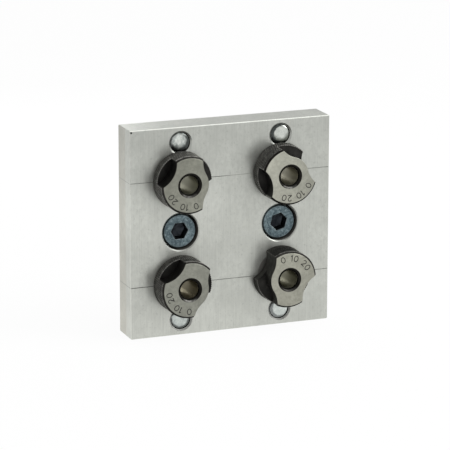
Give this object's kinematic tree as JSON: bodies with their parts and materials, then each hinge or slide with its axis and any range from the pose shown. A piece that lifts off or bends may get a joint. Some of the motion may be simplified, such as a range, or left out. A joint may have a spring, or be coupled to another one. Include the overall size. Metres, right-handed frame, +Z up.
{
  "type": "drill jig",
  "caption": "Square plate jig with knurled slip drill bushings, locating pins and sunk cap screws, which clamps to slotted profile to guide a drill.",
  "frame": {"origin": "centre of the plate's back face, which lies on the profile", "axes": "+Y out of the back face, +Z up as it stands, +X right as seen from the bushing side"},
  "size_m": [0.08, 0.0352, 0.08],
  "materials": {
    "plate": "milled satin",
    "hardened_bushing": "black oxide, with a ground face",
    "liner": "ground and hardened",
    "dowel_pin": "ground bright",
    "cap_screw": "blue-black oxide",
    "slot_nut": "bright zinc"
  },
  "bodies": {
    "jig_body": {"jig_plate": "plate", "drill_bushing_upper_left": "hardened_bushing", "liner_bushing_upper_left": "liner", "locating_pin_upper_left": "dowel_pin", "drill_bushing_upper_right": "hardened_bushing", "liner_bushing_upper_right": "liner", "locating_pin_upper_right": "dowel_pin", "drill_bushing_lower_left": "hardened_bushing", "liner_bushing_lower_left": "liner", "locating_pin_lower_left": "dowel_pin", "drill_bushing_lower_right": "hardened_bushing", "liner_bushing_lower_right": "liner", "locating_pin_lower_right": "dowel_pin"},
    "left_clamp_screw": {"clamp_screw_left": "cap_screw"},
    "left_slot_nut": {"slot_nut_left": "slot_nut"},
    "right_clamp_screw": {"clamp_screw_right": "cap_screw"},
    "right_slot_nut": {"slot_nut_right": "slot_nut"}
  },
  "joints": [
    {"name": "left_screw_turn", "type": "hinge", "parent": "jig_body", "child": "left_clamp_screw", "pos_m": [-0.02, 0, 0], "axis": [0, 1, 0], "range_deg": [-720, 540]},
    {"name": "left_nut_travel", "type": "slide", "parent": "jig_body", "child": "left_slot_nut", "axis": [0, 1, 0], "range_m": [-0.0019, 0.00255]},
    {"name": "right_screw_turn", "type": "hinge", "parent": "jig_body", "child": "right_clamp_screw", "pos_m": [0.02, 0, 0], "axis": [0, 1, 0], "range_deg": [-720, 540]},
    {"name": "right_nut_travel", "type": "slide", "parent": "jig_body", "child": "right_slot_nut", "axis": [0, 1, 0], "range_m": [-0.0019, 0.00255]}
  ],
  "couplings": [
    {"joint": "left_nut_travel", "follows": "left_screw_turn", "m_per_rad": -0.00019894},
    {"joint": "right_nut_travel", "follows": "right_screw_turn", "m_per_rad": -0.00019894}
  ]
}
